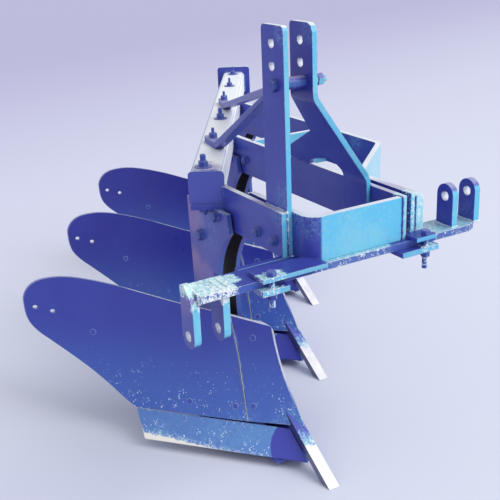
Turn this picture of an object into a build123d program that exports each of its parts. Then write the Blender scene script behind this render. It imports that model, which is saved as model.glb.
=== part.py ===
from build123d import *
import os

# Three-furrow mounted moldboard plough, right-hand bodies.
# Millimetres. X is the way of travel, Y is to the left, Z is up.
# The first body's bar point touches the ground at (0, 0, 0) while the
# pieces are made. They are shifted to the base centre at the end.

# Driving dimensions
BODIES = 3
PITCH_X = 550.0
CUT = 352.0
FRAME_TOP = 842.0
FRAME_H = 126.0
BAR_T = 18.0
BEAM = 100.0
BEAM_WALL = 8.0
BEAM_R = 16.0
BEAM_TOP = 887.0
BEAM_TAIL = 338.0
MAST_W = 105.0
MAST_T = 15.0
MAST_TOP = 1328.0
MAST_GAP = 73.0
TOP_LINK_R = 12.95
LUG_T = 20.0
LUG_W = 66.0
LUG_GAP = 66.0
LOWER_LINK_R = 14.35
SHAFT_W = 96.0
SHAFT_T = 20.0
SHAFT_X = -56.0
STAY_W = 34.0
STAY_T = 20.0
LEG_T = 16.0
LEG_GAP = 44.0
LEG_NECK_X = -362.0
BOARD_X = 11.0
BAR_W = 36.0
BAR_H = 24.0
LANDSIDE_H = 110.0
LANDSIDE_T = 12.0
CLAMP_AT = 101.0

FRAME_BOTTOM = FRAME_TOP - FRAME_H
SHAFT_TOP = FRAME_BOTTOM - 0.3
TOP_HOLES = (MAST_TOP - 45, MAST_TOP - 103)
BEAM_MID = BEAM_TOP - BEAM / 2
LEG_TOP = BEAM_TOP - BEAM - 15
PITCH = (PITCH_X ** 2 + CUT ** 2) ** 0.5
ALONG = Vector(-PITCH_X / PITCH, CUT / PITCH, 0)
ACROSS = Vector(CUT / PITCH, PITCH_X / PITCH, 0)
BEAM_START = Vector(-459.0, -129.0, 0)
BEAM_LEN = CLAMP_AT + (BODIES - 1) * PITCH + BEAM_TAIL

pieces = {}


def block(x0, x1, y0, y1, z0, z1):
    box = Box(abs(x1 - x0), abs(y1 - y0), abs(z1 - z0))
    return Pos((x0 + x1) / 2, (y0 + y1) / 2, (z0 + z1) / 2) * box


def side_plate(points, y0, y1):
    # Outline in X and Z, thick along Y.
    face = Face(Wire.make_polygon([Vector(x, y0, z) for x, z in points], close=True))
    return extrude(face, amount=abs(y1 - y0), dir=(0, 1 if y1 > y0 else -1, 0))


def top_plate(points, z0, z1):
    # Outline in X and Y, thick along Z.
    face = Face(Wire.make_polygon([Vector(x, y, z0) for x, y in points], close=True))
    return extrude(face, amount=abs(z1 - z0), dir=(0, 0, 1 if z1 > z0 else -1))


def front_plate(points, x0, x1):
    # Outline in Y and Z, thick along X.
    face = Face(Wire.make_polygon([Vector(x0, y, z) for y, z in points], close=True))
    return extrude(face, amount=abs(x1 - x0), dir=(1 if x1 > x0 else -1, 0, 0))


def bore_y(x, z, y0, y1, r):
    hole = Rot(90, 0, 0) * Cylinder(r, abs(y1 - y0))
    return Pos(x, (y0 + y1) / 2, z) * hole


def strut(a, b, width, thick, normal):
    # Flat bar from a to b, its broad face square to normal.
    a, b = Vector(*a), Vector(*b)
    plane = Plane(origin=a, z_dir=b - a, x_dir=normal)
    return extrude(plane * Rectangle(thick, width), amount=(b - a).length)


def on_beam(along, across=0.0):
    return BEAM_START + ALONG * along + ACROSS * across


def beam_frame(along, across, z):
    p = on_beam(along, across)
    return Plane(origin=(p.X, p.Y, z), x_dir=ALONG, z_dir=(0, 0, 1))


# Main beam: square tube set at an angle across the bodies, with closed ends.
outer = RectangleRounded(BEAM, BEAM, BEAM_R)
inner = RectangleRounded(BEAM - 2 * BEAM_WALL, BEAM - 2 * BEAM_WALL, BEAM_R - BEAM_WALL)
beam_plane = Plane(origin=(BEAM_START.X, BEAM_START.Y, BEAM_MID), z_dir=ALONG, x_dir=ACROSS)
tube = extrude(beam_plane * (outer - inner), amount=BEAM_LEN)
near_cap = extrude(beam_plane * RectangleRounded(BEAM + 8, BEAM + 4, 14), amount=BEAM_WALL)
pieces["main_beam"] = tube + near_cap

# Rear end plate of the beam, larger than the tube.
end_plane = Plane(beam_plane.origin + ALONG * BEAM_LEN, z_dir=ALONG, x_dir=ACROSS)
pieces["beam_end_plate"] = extrude(end_plane * RectangleRounded(152, 152, 14), amount=14)


def beam_face_x(y):
    # Where the beam's front side stands at this Y.
    return BEAM_START.X - (y - BEAM_START.Y) * PITCH_X / CUT + BEAM / 2 * PITCH / CUT


# Frame bars on edge, running fore and aft from the beam to the hitch.
BAR1_Y = -91.0
BAR2_Y = 256.0
BAR3_Y = 584.0
FRONT_X = -25.0
MX1 = -107.0
MX0 = MX1 - MAST_W
beam_solid = extrude(beam_plane * outer, amount=BEAM_LEN) + near_cap


def frame_bar(y, x_front):
    outline = [(beam_face_x(y), y), (x_front, y), (x_front, y + BAR_T), (beam_face_x(y + BAR_T), y + BAR_T)]
    return top_plate(outline, FRAME_BOTTOM, FRAME_TOP) - beam_solid


pieces["near_frame_bar"] = frame_bar(BAR1_Y, MX1)
pieces["middle_frame_bar"] = frame_bar(BAR2_Y, FRONT_X - 5)

# Far frame bar: one bar bent in at its front to run beside the middle bar.
CORNER_R = 45.0
BAR3_FRONT = -36.0
BAR3_IN = BAR2_Y + 48
line_out = [
    (beam_face_x(BAR3_Y + BAR_T / 2), BAR3_Y + BAR_T / 2),
    (-552, BAR3_Y + BAR_T / 2),
    (-285, BAR3_IN),
    (BAR3_FRONT, BAR3_IN),
]
path3 = FilletPolyline(*[(x, y) for x, y in line_out], radius=CORNER_R)
strip3 = trace(path3, line_width=BAR_T)
far_bar = extrude(Pos(0, 0, FRAME_BOTTOM) * strip3, amount=FRAME_H, dir=(0, 0, 1))
doubler_y = BAR3_IN + BAR_T / 2
doubler = block(-275, BAR3_FRONT, doubler_y, doubler_y + 28, FRAME_BOTTOM, FRAME_TOP - 10)
last_leg_x = LEG_NECK_X - (BODIES - 1) * PITCH_X
leg_notch = block(
    last_leg_x - 300, last_leg_x + 8, BAR3_Y - 5, BAR3_Y + BAR_T + 5, FRAME_BOTTOM - 5, LEG_TOP + 1
)
pieces["far_frame_bar"] = far_bar + doubler - beam_solid - leg_notch

# Front cross member: bar on edge bent back beside the right mast plate.
MAST_Y = BAR1_Y + BAR_T
inner_y = MAST_Y + MAST_T + BAR_T / 2
front_line = [(-330, inner_y), (FRONT_X - BAR_T / 2, inner_y), (FRONT_X - BAR_T / 2, BAR2_Y)]
MAST_CORNER_R = 36.0
front_path = FilletPolyline(*front_line, radius=MAST_CORNER_R)
front_strip = trace(front_path, line_width=BAR_T)
pieces["front_cross_member"] = extrude(Pos(0, 0, FRAME_BOTTOM) * front_strip, amount=FRAME_H, dir=(0, 0, 1))

# Rear cross member between the middle and far bars.
REAR_X = beam_face_x(BAR2_Y) + 102
pieces["rear_cross_member"] = block(REAR_X, REAR_X + BAR_T, BAR2_Y + BAR_T, BAR3_Y, FRAME_BOTTOM, FRAME_TOP)

# Right mast plate: straight upright on the near bar.
HOLE_X = (MX0 + MX1) / 2 - 4.5


def mast_head(front_r, rear_r):
    # Upper corners of a mast plate, each cut in two steps to a round.
    return [
        (MX1, MAST_TOP - front_r),
        (MX1 - 0.3 * front_r, MAST_TOP - 0.3 * front_r),
        (MX1 - front_r, MAST_TOP),
        (MX0 + rear_r, MAST_TOP),
        (MX0 + 0.3 * rear_r, MAST_TOP - 0.3 * rear_r),
        (MX0, MAST_TOP - rear_r),
    ]


mast_r = side_plate([(MX0, FRAME_BOTTOM), (MX1, FRAME_BOTTOM)] + mast_head(12, 12), MAST_Y, MAST_Y + MAST_T)
for z in TOP_HOLES:
    mast_r -= bore_y(HOLE_X, z, MAST_Y - 5, MAST_Y + MAST_T + 5, TOP_LINK_R)
pieces["mast_plate_right"] = mast_r

# Left mast plate: upright head, bent out to the middle bar below, with two feet.
LM_Y = MAST_Y + MAST_T + MAST_GAP
FOOT_Z = FRAME_TOP + 20
KNEE_Z = FOOT_Z + 0.592 * (MAST_TOP - FOOT_Z)
LEG_SPLIT = -400.0
plate_mid = LM_Y + MAST_T / 2
foot_mid = BAR2_Y - MAST_T / 2
lean = (foot_mid - plate_mid) / (KNEE_Z - FOOT_Z)
upper = [(plate_mid, MAST_TOP + 10), (plate_mid, KNEE_Z)]
front_bend = upper + [(foot_mid, FOOT_Z), (foot_mid, FRAME_BOTTOM)]
rear_bend = upper + [(foot_mid + lean * 60, FOOT_Z - 60)]


def bent_strip(line, radius, x0, x1):
    plane = Plane(origin=(x0, 0, 0), x_dir=(0, 1, 0), z_dir=(1, 0, 0))
    knees = FilletPolyline(*line, radius=radius)
    return extrude(plane * trace(knees, line_width=MAST_T), amount=x1 - x0)


bent_plate = bent_strip(front_bend, 50, LEG_SPLIT, -60) + bent_strip(rear_bend, 50, -620, LEG_SPLIT)
left_outline = mast_head(22, 10) + [
    (MX0, KNEE_Z + 12),
    (MX0 - 66, (KNEE_Z + FOOT_Z) / 2 + 6),
    (-572, FOOT_Z + 18),
    (-580, FOOT_Z + 2),
    (-580, FRAME_TOP),
    (-484, FRAME_TOP),
    (-472, FOOT_Z - 8),
    (-440, FOOT_Z + 6),
    (-400, FOOT_Z + 18),
    (-354, FOOT_Z + 30),
    (-318, FOOT_Z + 38),
    (-299, FOOT_Z + 39),
    (-287, FOOT_Z + 32),
    (-281, FOOT_Z + 18),
    (-280, FOOT_Z),
    (-280, FRAME_BOTTOM + 19),
    (-168, FRAME_BOTTOM + 19),
    (-168, FOOT_Z + 10),
    (-163, FOOT_Z + 29),
    (MX1, KNEE_Z + 12),
]
mast_l = bent_plate & side_plate(left_outline, LM_Y - 5, BAR2_Y + BAR_T + 20)
for z in TOP_HOLES:
    mast_l -= bore_y(HOLE_X, z, LM_Y - 5, LM_Y + MAST_T + 5, TOP_LINK_R)
pieces["mast_plate_left"] = mast_l

# Stays: flat bars bent at the foot, each with a boss on the mast bolt.
BOLT_X = MX1 - 43
BOLT_Z = KNEE_Z + 38
BOSS_L = MAST_GAP / 2
BOSS_R = 17.0
EYE_X = BOLT_X - 68
TOE = 36.0


def stay(foot, boss_y):
    foot_at = on_beam(foot)
    y_mid = boss_y + BOSS_L / 2
    reach = Vector(EYE_X - foot_at.X, y_mid - foot_at.Y, 0)
    way = reach.normalized()
    rise_plane = Plane(origin=(foot_at.X, foot_at.Y, BEAM_TOP), x_dir=way, z_dir=(way.Y, -way.X, 0))
    half = STAY_T / 2
    bend_at = 62.0
    eye_z = BOLT_Z - BEAM_TOP
    slope = (eye_z - half) / (reach.length + BOLT_X - EYE_X - bend_at)
    z_end = half + slope * (reach.length - bend_at)
    side = trace(FilletPolyline((-TOE, half), (bend_at, half), (reach.length, z_end), radius=34), line_width=STAY_T)
    bar = extrude(rise_plane * side, amount=STAY_W / 2, both=True)
    toe_at = foot_at - way * TOE
    bar += Pos(toe_at.X, toe_at.Y, BEAM_TOP + half) * Cylinder(STAY_W / 2, STAY_T)
    low = eye_z - slope * (BOLT_X - EYE_X) + BEAM_TOP
    thick = half * (1 + slope ** 2) ** 0.5
    neck_pts = [(EYE_X - 6, low - thick), (BOLT_X, BOLT_Z - thick), (BOLT_X, BOLT_Z + thick), (EYE_X - 6, low + thick)]
    bar += side_plate(neck_pts, y_mid - STAY_W / 2, y_mid + STAY_W / 2)
    bar += bore_y(BOLT_X, BOLT_Z, boss_y, boss_y + BOSS_L, BOSS_R)
    return bar - bore_y(BOLT_X, BOLT_Z, boss_y - 1, boss_y + BOSS_L + 1, 10.5)


pieces["stay_right"] = stay(CLAMP_AT + 234, MAST_Y + MAST_T)
pieces["stay_left"] = stay(CLAMP_AT + PITCH + 214, MAST_Y + MAST_T + BOSS_L)

# Cross-shaft: flat bar clamped under the frame, free to be shifted sideways.
SHAFT_Y0 = -395.0
SHAFT_Y1 = 545.0
SX0 = SHAFT_X - SHAFT_W / 2
SX1 = SHAFT_X + SHAFT_W / 2
SHAFT_BOT = SHAFT_TOP - SHAFT_T
shaft_outline = [
    (SX0, SHAFT_Y0),
    (SX1, SHAFT_Y0),
    (SX1, SHAFT_Y1 - 48),
    (SX1 - 14, SHAFT_Y1 - 20),
    (SX1 - 44, SHAFT_Y1),
    (SX0, SHAFT_Y1),
]
pieces["cross_shaft"] = top_plate(shaft_outline, SHAFT_BOT, SHAFT_TOP)

# Hitch lugs: a pair hanging at the right end, a pair standing at the left end.
LUG_R = LUG_W / 2
LUG_X = SHAFT_X + 4
RIGHT_LUG_Y = SHAFT_Y0 - LUG_T
LEFT_LUG_Y = 437.0
RIGHT_HOLE_Z = SHAFT_TOP - 118.7
LEFT_HOLE_Z = SHAFT_TOP + 89.3
LUG_STEP = LUG_T + LUG_GAP


def lug(y0, root, z_hole, nose_z):
    plate = side_plate([(LUG_X - LUG_R, nose_z)] + root + [(LUG_X + LUG_R, nose_z)], y0, y0 + LUG_T)
    nose = bore_y(LUG_X, nose_z, y0, y0 + LUG_T, LUG_R)
    return plate + nose - bore_y(LUG_X, z_hole, y0 - 5, y0 + LUG_T + 5, LOWER_LINK_R)


end_root = [
    (LUG_X - LUG_R, SHAFT_TOP + 12),
    (LUG_X - 10, SHAFT_TOP + 17),
    (LUG_X + 25, SHAFT_TOP - 20),
    (LUG_X + LUG_R, SHAFT_TOP - 32),
]
low_root = [(LUG_X - LUG_R, SHAFT_BOT), (LUG_X + LUG_R, SHAFT_BOT)]
top_root = [(LUG_X - LUG_R, SHAFT_TOP), (LUG_X + LUG_R, SHAFT_TOP)]
right_end = lug(RIGHT_LUG_Y, end_root, RIGHT_HOLE_Z, RIGHT_HOLE_Z - 2)
right_inner = lug(RIGHT_LUG_Y + LUG_STEP, low_root, RIGHT_HOLE_Z, RIGHT_HOLE_Z - 2)
left_inner = lug(LEFT_LUG_Y, top_root, LEFT_HOLE_Z, LEFT_HOLE_Z + 3)
left_end = lug(LEFT_LUG_Y + LUG_STEP, top_root, LEFT_HOLE_Z, LEFT_HOLE_Z + 3)
pieces["hitch_lugs_right"] = right_end + right_inner
pieces["hitch_lugs_left"] = left_inner + left_end

# Shaft clamps: a plate over the shaft by the frame bars, a keeper under it, bolts in front.
CLAMP_FRONT = SX1 + 26
CLAMP_REAR = SX0 - 20
KEEPER_T = 16.0
OVER_T = 12.0
BOLT_R = 8.0
BOLT_TOP = FRAME_BOTTOM + 24
FRONT_BOLT_X = SX1 + 12
keeper_top = SHAFT_BOT - 0.3
over_z = (FRAME_BOTTOM, FRAME_BOTTOM + OVER_T)


def clamp_bolt(x, y, z_low, z_top=BOLT_TOP):
    return Pos(x, y, (z_low + z_top) / 2) * Cylinder(BOLT_R, z_top - z_low)


# Right clamp: the over plate is welded into the mast corner, the keeper to the near bar.
corner = Vector(FRONT_X - BAR_T / 2 - MAST_CORNER_R, inner_y + MAST_CORNER_R, 0)
seat_a, seat_b = [corner + Vector(MAST_CORNER_R + 8, 0, 0).rotate(Axis.Z, a) for a in (-23, -77)]
over_outline = [
    (seat_b.X, -230),
    (CLAMP_FRONT, -230),
    (CLAMP_FRONT, seat_a.Y),
    (seat_a.X, seat_a.Y),
    (seat_b.X, seat_b.Y),
]
over_r = top_plate(over_outline, *over_z) - pieces["front_cross_member"]
keeper_r = block(CLAMP_REAR, CLAMP_FRONT, -232, -150, keeper_top - KEEPER_T, keeper_top)
hanger_outline = [
    (-232, keeper_top - KEEPER_T),
    (-150, keeper_top - KEEPER_T),
    (-150, keeper_top),
    (MAST_Y, keeper_top),
    (MAST_Y, FRAME_BOTTOM),
    (-232, FRAME_BOTTOM),
]
hanger = front_plate(hanger_outline, CLAMP_REAR, SX0 - 2)
pieces["shaft_clamp_right"] = over_r + keeper_r + hanger + clamp_bolt(FRONT_BOLT_X, -197, keeper_top - 54)

# Left clamp: the over plate lies between the middle and far bars, with a ledge in front.
over_y = (BAR2_Y + BAR_T, BAR3_IN - BAR_T / 2)
keeper_outline = [
    (CLAMP_REAR + 44, 225),
    (CLAMP_FRONT, 225),
    (CLAMP_FRONT, 355),
    (CLAMP_REAR, 355),
    (CLAMP_REAR, 262),
]
left_clamp = top_plate(keeper_outline, keeper_top - KEEPER_T, keeper_top)
left_clamp += block(CLAMP_REAR, CLAMP_FRONT, *over_y, *over_z)
left_clamp += block(BAR3_FRONT, CLAMP_FRONT, BAR2_Y + BAR_T, 344, *over_z)
left_clamp += clamp_bolt(FRONT_BOLT_X, 317, keeper_top - 68)
left_clamp += clamp_bolt(SX0 - 11, sum(over_y) / 2, keeper_top - 34)
pieces["shaft_clamp_left"] = left_clamp

# Ploughing body, made once at the first place.
# Leg: two plates side by side, the casting bolted between them below.
LEG_Y = -114.0
LEG_IN = LEG_Y + LEG_T
FAR_LEG_Y = LEG_IN + LEG_GAP
leg_outline = [
    (-624, LEG_TOP),
    (-610, 470),
    (-604, 250),
    (-575, 130),
    (-452, 130),
    (-436, 300),
    (-447, 460),
    (-447, 510),
    (-443, 552),
    (-436, 590),
    (-424, 625),
    (-406, 659),
    (-385, 689),
    (LEG_NECK_X, 714),
    (-374, LEG_TOP),
]
leg_right = side_plate(leg_outline, LEG_Y, LEG_IN)
leg_left = side_plate(leg_outline, FAR_LEG_Y, FAR_LEG_Y + LEG_T)
leg = leg_right + leg_left

# Leg head: base plate under the beam, block between the legs, plate over the beam.
head_block = side_plate([(-606, 680), (-470, 680), (-470, LEG_TOP), (-606, LEG_TOP)], LEG_IN, FAR_LEG_Y)
base_plane = beam_frame(CLAMP_AT, 0, LEG_TOP)
base = extrude(base_plane * Rectangle(220, BEAM), amount=15, dir=(0, 0, 1))
leg_clamp = head_block + (base - near_cap)

# Curved soil-turning surface: a thin ruled skin between two upright sections.
FRONT_SEC = [(-113, 60), (-242, 215), (-319, 352), (-341, 489), (-341, 560)]
WING_SEC = [(-912, 60), (-915, 215), (-921, 352), (-940, 489), (-948, 560)]


def skin_section(y, pts, shift):
    a, b, c, d, e = [Vector(x, y, z) for x, z in pts]
    s = Vector(-shift, 0, 0)
    edges = [
        Edge.make_line(a, b),
        Edge.make_three_point_arc(b, c, d),
        Edge.make_line(d, e),
        Edge.make_line(e, e + s),
        Edge.make_line(e + s, d + s),
        Edge.make_three_point_arc(d + s, c + s, b + s),
        Edge.make_line(b + s, a + s),
        Edge.make_line(a + s, a),
    ]
    return Face(Wire(edges))


def skin(back, ahead=0.0):
    front = skin_section(20, [(x + ahead, z) for x, z in FRONT_SEC], back + ahead)
    wing = skin_section(-640, [(x + ahead, z) for x, z in WING_SEC], back + ahead)
    return loft([front, wing], ruled=True)


board_outline = [
    (-112.5, 110),
    (-240, 107),
    (-361, 105),
    (-381, 125),
    (-416, 171),
    (-459, 221),
    (-502, 264),
    (-542, 302),
    (-575, 334),
    (-593, 363),
    (-600, 402),
    (-598, 448),
    (-580, 484),
    (-552, 508),
    (-506, 522),
    (-470, 524),
    (-422, 518),
    (-352, 501),
    (-283, 478),
    (-204, 452),
    (-143, 436),
    (-88.5, 424),
    (-85.5, 300),
]
shin_outline = [
    (-110, 110),
    (-29, 116),
    (12, 118),
    (12, 372),
    (8, 388),
    (-8, 401),
    (-34, 407),
    (-86, 423.5),
    (-83, 300),
]
board_skin = skin(BOARD_X)
BOARD_BACK = min(x for x, z in WING_SEC) - 60
moldboard = board_skin & front_plate(board_outline, BOARD_BACK, 0)
shin = board_skin & front_plate(shin_outline, BOARD_BACK, 0)
WING_HOLES = ((-572, 417), (-528, 406))
for y, z in WING_HOLES:
    moldboard -= Pos(-850, y, z) * (Rot(0, 90, 0) * Cylinder(7, 400))

# Share: flat plate under the moldboard's lower edge.
share_edge = Vector(-402, -357, 0)
share_front_low = Vector(-110, -19, 34)
share_front_top = Vector(-205, -19, 103)
share_corners = [
    share_front_low,
    share_front_low + share_edge,
    share_front_top + share_edge * 0.96,
    share_front_top,
]
share_back = share_edge.cross(share_front_top - share_front_low).normalized()
share = extrude(Face(Wire.make_polygon(share_corners, close=True)), amount=11, dir=share_back)

# Bar point: flat bar lying in the body's nose, its sole ground flat at the tip.
bar_dir = Vector(-1, 0, 0.662).normalized()
bar_up = Vector(0.662, 0, 1).normalized()
bar_plane = Plane(origin=(0, 0, 0), x_dir=bar_dir, z_dir=bar_up)
bar_top = bar_plane * Pos(200, 0) * Rectangle(400, BAR_W)
bar_point = extrude(bar_top, amount=BAR_H, dir=-bar_up)
bar_point -= block(-300, 60, -60, 60, -80, 0)
shin -= bar_point

# Landside: flat bar pressed against the furrow wall.
landside = side_plate([(-205, 0), (-655, 0), (-655, LANDSIDE_H), (-300, LANDSIDE_H)], 6, 6 + LANDSIDE_T)

# Frog: casting that carries the share, moldboard, landside and bar point.
share_ahead = Face(Wire.make_polygon([p - share_back * 250 for p in [
    share_front_low - share_edge * 0.4 - Vector(-95, 0, 69),
    share_front_low + share_edge * 1.4 - Vector(-95, 0, 69),
    share_front_top + share_edge * 1.4 + Vector(-40, 0, 29),
    share_front_top - share_edge * 0.4 + Vector(-40, 0, 29),
]], close=True))
share_cut = extrude(share_ahead, amount=261, dir=share_back)
board_cut = skin(BOARD_X, 500.0)
web_outline = [(-600, 60), (-600, 380), (-470, 380), (-440, 300), (-330, 150), (-200, 150), (-160, 20), (-560, 20)]
frog_web = side_plate(web_outline, LEG_IN + 12, FAR_LEG_Y - 12)
frog_boss = side_plate([(-596, 140), (-596, 372), (-478, 372), (-458, 140)], LEG_IN, FAR_LEG_Y)
frog_boss -= side_plate([(-574, 162), (-574, 350), (-500, 350), (-484, 162)], LEG_IN, FAR_LEG_Y)
side_outline = [(-140, 14), (-560, 14), (-560, 70), (-430, 120), (-345, 196), (-150, 67)]
frog_side = side_plate(side_outline, -14, 6)
frog_sole = block(-560, -180, LEG_IN + 12, 6, 14, 30)
frog_back = side_plate([(-520, 20), (-560, 20), (-560, 110), (-500, 110)], LEG_IN + 12, 6)
share_rib = side_plate([(-300, 40), (-440, 40), (-500, 124), (-400, 124)], -200, LEG_IN + 20)
share_rib -= side_plate([(-340, 30), (-425, 30), (-480, 112), (-410, 112)], -186, LEG_IN + 6)
frog = frog_web + frog_boss + frog_side + frog_sole + frog_back + share_rib
frog = frog - share_cut - board_cut - bar_point
leg -= board_cut

# Wing brace: flat bar from the leg to the back of the moldboard's wing.
brace = strut((-560, LEG_Y - 9, 340), (-752, -433, 342), 30, 16, (0, 0, 1)) - board_skin

body_pieces = {
    "leg": leg,
    "leg_clamp": leg_clamp,
    "frog": frog,
    "moldboard": moldboard,
    "shin": shin,
    "share": share,
    "bar_point": bar_point,
    "landside": landside,
    "wing_brace": brace,
}
for k in range(BODIES):
    for name, shape in body_pieces.items():
        pieces[f"{name}_{k + 1}"] = Pos(-k * PITCH_X, k * CUT, 0) * shape

# Shift to the base centre and write one file per piece.
boxes = [shape.bounding_box() for shape in pieces.values()]
x_mid = (min(b.min.X for b in boxes) + max(b.max.X for b in boxes)) / 2
y_mid = (min(b.min.Y for b in boxes) + max(b.max.Y for b in boxes)) / 2
z_low = min(b.min.Z for b in boxes)
print("shift", -x_mid, -y_mid, -z_low)
os.makedirs("parts", exist_ok=True)
for name, shape in pieces.items():
    export_step(Pos(-x_mid, -y_mid, -z_low) * shape, f"parts/{name}.step")
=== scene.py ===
import bmesh
import bpy
import math
from mathutils import Matrix, Vector
from mathutils.bvhtree import BVHTree
from mathutils.geometry import delaunay_2d_cdt


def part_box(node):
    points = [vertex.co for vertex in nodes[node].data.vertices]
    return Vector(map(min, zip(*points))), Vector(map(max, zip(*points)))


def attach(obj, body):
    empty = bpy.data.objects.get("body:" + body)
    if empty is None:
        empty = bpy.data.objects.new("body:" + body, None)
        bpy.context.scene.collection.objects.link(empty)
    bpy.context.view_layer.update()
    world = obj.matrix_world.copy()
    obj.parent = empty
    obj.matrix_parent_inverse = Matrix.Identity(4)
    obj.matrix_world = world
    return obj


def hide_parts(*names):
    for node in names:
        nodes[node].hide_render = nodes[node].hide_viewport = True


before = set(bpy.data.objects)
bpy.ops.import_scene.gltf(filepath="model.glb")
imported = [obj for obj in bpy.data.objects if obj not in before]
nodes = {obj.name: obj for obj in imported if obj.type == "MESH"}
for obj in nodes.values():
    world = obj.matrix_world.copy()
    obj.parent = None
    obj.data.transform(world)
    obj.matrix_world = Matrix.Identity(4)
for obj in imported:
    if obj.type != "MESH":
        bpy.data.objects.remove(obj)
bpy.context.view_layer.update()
scene = bpy.context.scene

# Camera. It stands ahead and to the right of the plough, a little above the mast,
# and looks down over the hitch along the three bodies.
TIP = Vector((0.994081, -0.141602, 0.0))


def at(x, y, z):
    # A place given in mm from TIP, the tip of the first body's bar point.
    return TIP + Vector((x, y, z)) / 1000


cam_data = bpy.data.cameras.new("camera")
cam_data.lens = 63.32
cam_data.sensor_width = 36.0
camera = bpy.data.objects.new("camera", cam_data)
scene.collection.objects.link(camera)
look = Vector((-0.80877, 0.46868, -0.35528))
right = Vector((0.51367, 0.85712, -0.03862))
up = Vector((-0.28642, 0.21373, 0.93396))
turn = Matrix((right, up, -look)).transposed().to_4x4()
camera.matrix_world = Matrix.Translation(at(1768.35, -1279.44, 1587.12)) @ turn
scene.camera = camera


# Painted steel. Brushed-on blue enamel over plate and bar, chipped pale along its
# edges and seams, with painted sunlight where it faces forward and a pale tone where it
# faces up, painted top light with some dust.
X, Y, Z = 0, 1, 2
NORMAL, OBJECT = 1, 3


class Wire:
    """One output in a node tree, with arithmetic that adds Math nodes."""

    def __init__(self, tree, socket):
        self.tree = tree
        self.socket = socket

    def add(self, kind, settings, sockets, output=0):
        node = self.tree.nodes.new(kind)
        for key, value in settings.items():
            setattr(node, key, value)
        for key, value in sockets.items():
            if isinstance(value, Wire):
                self.tree.links.new(value.socket, node.inputs[key])
            else:
                node.inputs[key].default_value = value
        return Wire(self.tree, node.outputs[output])

    def math(self, operation, a, b=0.0):
        return self.add("ShaderNodeMath", {"operation": operation}, {0: a, 1: b})

    def __add__(self, other):
        return self.math("ADD", self, other)

    def __radd__(self, other):
        return self.math("ADD", other, self)

    def __sub__(self, other):
        return self.math("SUBTRACT", self, other)

    def __rsub__(self, other):
        return self.math("SUBTRACT", other, self)

    def __mul__(self, other):
        return self.math("MULTIPLY", self, other)

    def __rmul__(self, other):
        return self.math("MULTIPLY", other, self)

    def step(self, low, high, out_low=0.0, out_high=1.0):
        limits = {"From Min": low, "From Max": high, "To Min": out_low, "To Max": out_high}
        smooth = {"interpolation_type": "SMOOTHSTEP"}
        return self.add("ShaderNodeMapRange", smooth, {"Value": self, **limits})

    def part(self, axis):
        return self.add("ShaderNodeSeparateXYZ", {}, {"Vector": self}, axis)

    def dot(self, way):
        return self.add("ShaderNodeVectorMath", {"operation": "DOT_PRODUCT"}, {0: self, 1: way}, 1)

    def distance(self, place):
        return self.add("ShaderNodeVectorMath", {"operation": "DISTANCE"}, {0: self, 1: place}, 1)

    def stretched(self, scale):
        return self.add("ShaderNodeMapping", {}, {"Vector": self, "Scale": scale})

    def noise(self, scale, detail=2.0, rough=0.5):
        sizes = {"Scale": scale, "Detail": detail, "Roughness": rough}
        return self.add("ShaderNodeTexNoise", {}, {"Vector": self, **sizes})

    def tint(self, mask, under, over):
        return self.add("ShaderNodeMix", {"data_type": "RGBA"}, {0: mask, 6: under, 7: over}, 2)


def new_finish(name):
    material = bpy.data.materials.new(name)
    material.use_nodes = True
    shader = material.node_tree.nodes["Principled BSDF"]
    return material, material.node_tree, shader, Wire(material.node_tree, None)


def rgba(r, g, b):
    return (r, g, b, 1.0)


BLUE = rgba(0.050, 0.072, 0.40)
DEEP = rgba(0.030, 0.036, 0.32)
FORWARD_LIGHT = rgba(0.11, 0.53, 0.80)
SLANTED_LIGHT = rgba(0.34, 0.64, 0.76)
TOP_LIGHT_AND_DUST = rgba(0.72, 0.76, 0.82)
CHIP = rgba(0.80, 0.86, 0.88)
PALE_HIGHLIGHT = rgba(0.86, 0.88, 0.92)
MOTTLE = rgba(0.08, 0.12, 0.47)
PALER_LIGHT = rgba(0.26, 0.60, 0.70)
STREAKED = rgba(0.16, 0.40, 0.74)
ROSY = rgba(0.34, 0.20, 0.40)
SHADED = rgba(0.036, 0.052, 0.30)
DIM_LILAC = rgba(0.37, 0.34, 0.52)
OUTLINE = rgba(0.40, 0.62, 0.78)
RUBBED = rgba(0.22, 0.50, 0.68)
FLAKED_AND_LIT = rgba(0.42, 0.78, 0.80)
BORE_SHADE = rgba(0.05, 0.07, 0.30)
GAP_SHADE = rgba(0.026, 0.022, 0.017)


def spots(w, coords, cloud, places, shift):
    # How near a point is to any of the places, each with its reach in m and strength.
    near = None
    for (x, y, z), reach, amount in places:
        centre = tuple(at(x + shift[X], y + shift[Y], z + shift[Z]))
        away = coords.distance(centre)
        spot = (away + (cloud - 0.5) * 0.08).step(reach, reach * 0.35) * amount
        near = spot if near is None else w.math("MAXIMUM", near, spot)
    return near


def pale_areas(w, coords, ragged, areas, shift):
    # Box-shaped pale areas with ragged borders, part flaked paint and part painted sunlight,
    # given by two corners in mm.
    # None leaves an area open along that axis.
    soft = 0.003
    whole = None
    for low, high, amount in areas:
        inside = None
        for axis in range(3):
            if low[axis] is None:
                continue
            first, last = (v[axis] / 1000 + TIP[axis] + shift[axis] / 1000 for v in (low, high))
            here = coords.part(axis) + ragged
            kept = here.step(first - soft, first + soft) * here.step(last + soft, last - soft)
            inside = kept if inside is None else inside * kept
        inside = inside * amount
        whole = inside if whole is None else w.math("MAXIMUM", whole, inside)
    return whole


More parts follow.
